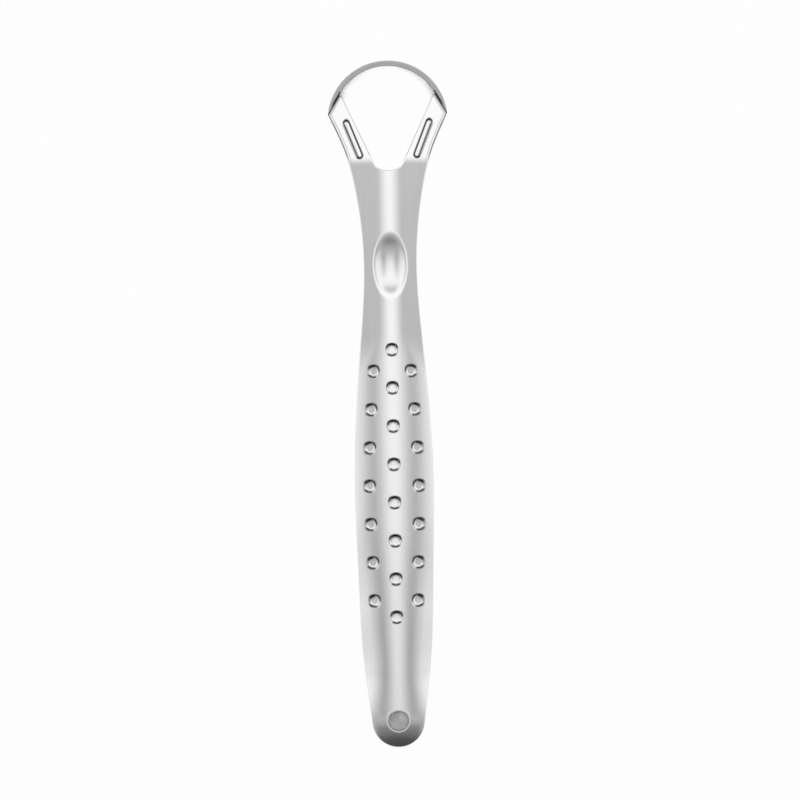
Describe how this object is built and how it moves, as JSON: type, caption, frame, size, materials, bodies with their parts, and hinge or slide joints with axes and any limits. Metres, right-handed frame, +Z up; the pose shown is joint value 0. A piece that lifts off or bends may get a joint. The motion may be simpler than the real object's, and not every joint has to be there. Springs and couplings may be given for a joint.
{
  "type": "tongue scraper",
  "caption": "Pressed steel tongue scraper: a long domed grip with thumb rest, press dots and hang hole, and a forked head that carries a round scraping strip.",
  "frame": {"origin": "on the table under the middle of the part, which lies thumb side up on the scraping edge and on the end of its tip", "axes": "+X across the part, +Y along it from the hang hole to the arch of the head, +Z up out of the thumb side"},
  "size_m": [0.0278, 0.16, 0.0108],
  "materials": {
    "satin_steel": "satin, brushed lengthwise",
    "strip_steel": "satin, brushed along the strip",
    "weld_steel": "ground weld"
  },
  "bodies": {
    "root": {"handle": "satin_steel", "scraper_band": "strip_steel", "weld_beads": "weld_steel"}
  },
  "joints": []
}
